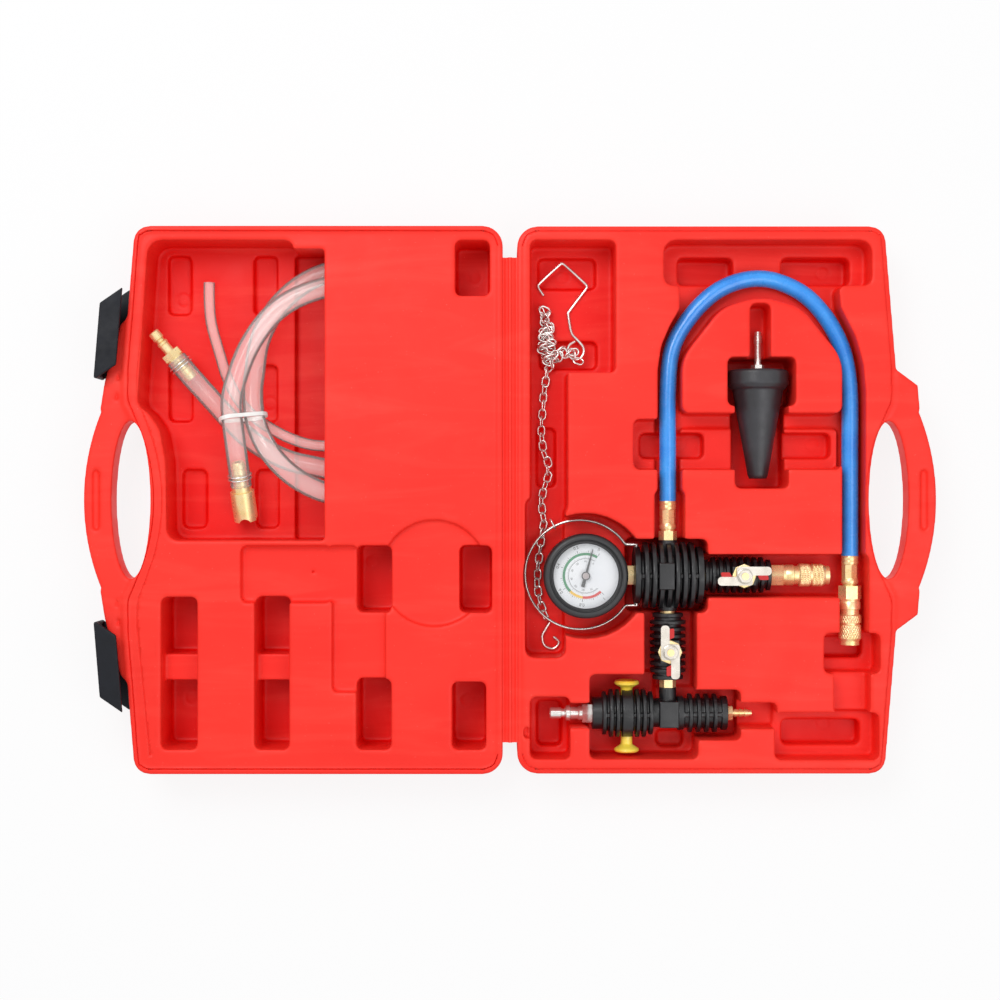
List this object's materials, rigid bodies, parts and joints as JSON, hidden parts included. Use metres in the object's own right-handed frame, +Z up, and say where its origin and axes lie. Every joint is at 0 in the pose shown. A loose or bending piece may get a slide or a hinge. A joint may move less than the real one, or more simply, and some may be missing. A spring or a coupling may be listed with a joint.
{
  "type": "coolant vacuum filler",
  "caption": "Hinged carrying case opened flat, holding a vacuum filler for cooling systems: gauge, finned manifold, valves, air ejector, hoses, chain and rubber cone.",
  "frame": {"origin": "on the floor, midway between the halves, under the middle of the hinge line", "axes": "+Z up out of the open case, +X from the hinge to the base's handle, +Y along the hinge"},
  "size_m": [0.589, 0.3786, 0.0568],
  "materials": {
    "case_red": "blow-moulded, satin",
    "latch_black": "satin",
    "nylon_black": "satin moulded",
    "rubber_black": "matt",
    "brass": "turned",
    "nickel": "nickel plated",
    "steel": "brushed",
    "dial_white": "printed",
    "lens": "clear",
    "needle_black": "matt",
    "hose_blue": "smooth cover",
    "tab_red": "dipped",
    "spool_yellow": "moulded",
    "hose_clear": "clear vinyl",
    "tie_white": "moulded nylon"
  },
  "bodies": {
    "base": {"base_case": "case_red", "living_hinge": "case_red", "cross_manifold": "nylon_black", "port_nipples": "brass", "gauge_boot": "rubber_black", "gauge_case": "steel", "gauge_dial": "dial_white", "gauge_lens": "lens", "gauge_movement": "brass", "bourdon_tube": "brass", "gauge_nipple": "brass", "hose_fitting": "brass", "ferrule_top": "brass", "blue_hose": "hose_blue", "ferrule_end": "brass", "end_coupler_body": "brass", "right_valve_body": "nylon_black", "right_coupler_body": "brass", "coupler_balls": "steel", "lower_valve_body": "nylon_black", "lower_adapter": "brass", "ejector_body": "nylon_black", "ejector_nozzle": "brass", "air_plug": "nickel", "muffler": "nylon_black", "outlet_barb": "brass", "chain_long": "nickel", "chain_short": "nickel", "chain_hook": "nickel", "s_hook": "nickel", "rubber_cone": "rubber_black", "cone_plug": "nickel"},
    "lid": {"lid_case": "case_red", "suction_hose": "hose_clear", "drain_hose": "hose_clear", "hose_plug": "brass", "hose_foot": "brass", "hose_clamps": "nickel", "cable_tie": "tie_white"},
    "latch_upper": {"latch_upper": "latch_black"},
    "latch_lower": {"latch_lower": "latch_black"},
    "needle": {"gauge_needle": "needle_black"},
    "right_lever": {"right_valve_ball": "nickel", "right_valve_stem": "nickel", "right_valve_lever": "nickel", "right_valve_tabs": "tab_red", "right_valve_nut": "nickel"},
    "lower_lever": {"lower_valve_ball": "nickel", "lower_valve_stem": "nickel", "lower_valve_lever": "nickel", "lower_valve_tabs": "tab_red", "lower_valve_nut": "nickel"},
    "spool": {"ejector_spool": "spool_yellow"},
    "bail": {"bail": "nickel", "bail_links": "nickel"},
    "right_sleeve": {"right_coupler_sleeve": "brass"},
    "end_sleeve": {"end_coupler_sleeve": "brass"}
  },
  "joints": [
    {"name": "lid_hinge", "type": "hinge", "parent": "base", "child": "lid", "pos_m": [0, 0, 0.046], "axis": [0, -1, 0], "range_deg": [-180, 0], "deforming": ["living_hinge"]},
    {"name": "latch_upper_slide", "type": "slide", "parent": "lid", "child": "latch_upper", "axis": [0.082, 0.9966, 0], "range_m": [-0.014, 0]},
    {"name": "latch_lower_slide", "type": "slide", "parent": "lid", "child": "latch_lower", "axis": [0.082, -0.9966, 0], "range_m": [-0.014, 0]},
    {"name": "needle_turn", "type": "hinge", "parent": "base", "child": "needle", "pos_m": [0.0524, -0.0525, 0.042], "axis": [0, 0, 1], "range_deg": [0, 240], "stiffness_Nm_per_rad": 0.0005},
    {"name": "right_lever_turn", "type": "hinge", "parent": "base", "child": "right_lever", "pos_m": [0.16175, -0.0525, 0.047], "axis": [0, 0, 1], "range_deg": [0, 90]},
    {"name": "lower_lever_turn", "type": "hinge", "parent": "base", "child": "lower_lever", "pos_m": [0.1105, -0.105, 0.047], "axis": [0, 0, 1], "range_deg": [0, 90]},
    {"name": "spool_slide", "type": "slide", "parent": "base", "child": "spool", "axis": [0, 1, 0], "range_m": [0, 0.004]},
    {"name": "bail_swing", "type": "hinge", "parent": "base", "child": "bail", "pos_m": [0.08865, -0.0525, 0.029], "axis": [0, 1, 0], "range_deg": [0, 65]},
    {"name": "right_sleeve_slide", "type": "slide", "parent": "base", "child": "right_sleeve", "axis": [-1, 0, 0], "range_m": [0, 0.003], "stiffness_N_per_m": 800},
    {"name": "end_sleeve_slide", "type": "slide", "parent": "base", "child": "end_sleeve", "axis": [0, 1, 0], "range_m": [0, 0.003], "stiffness_N_per_m": 800}
  ]
}
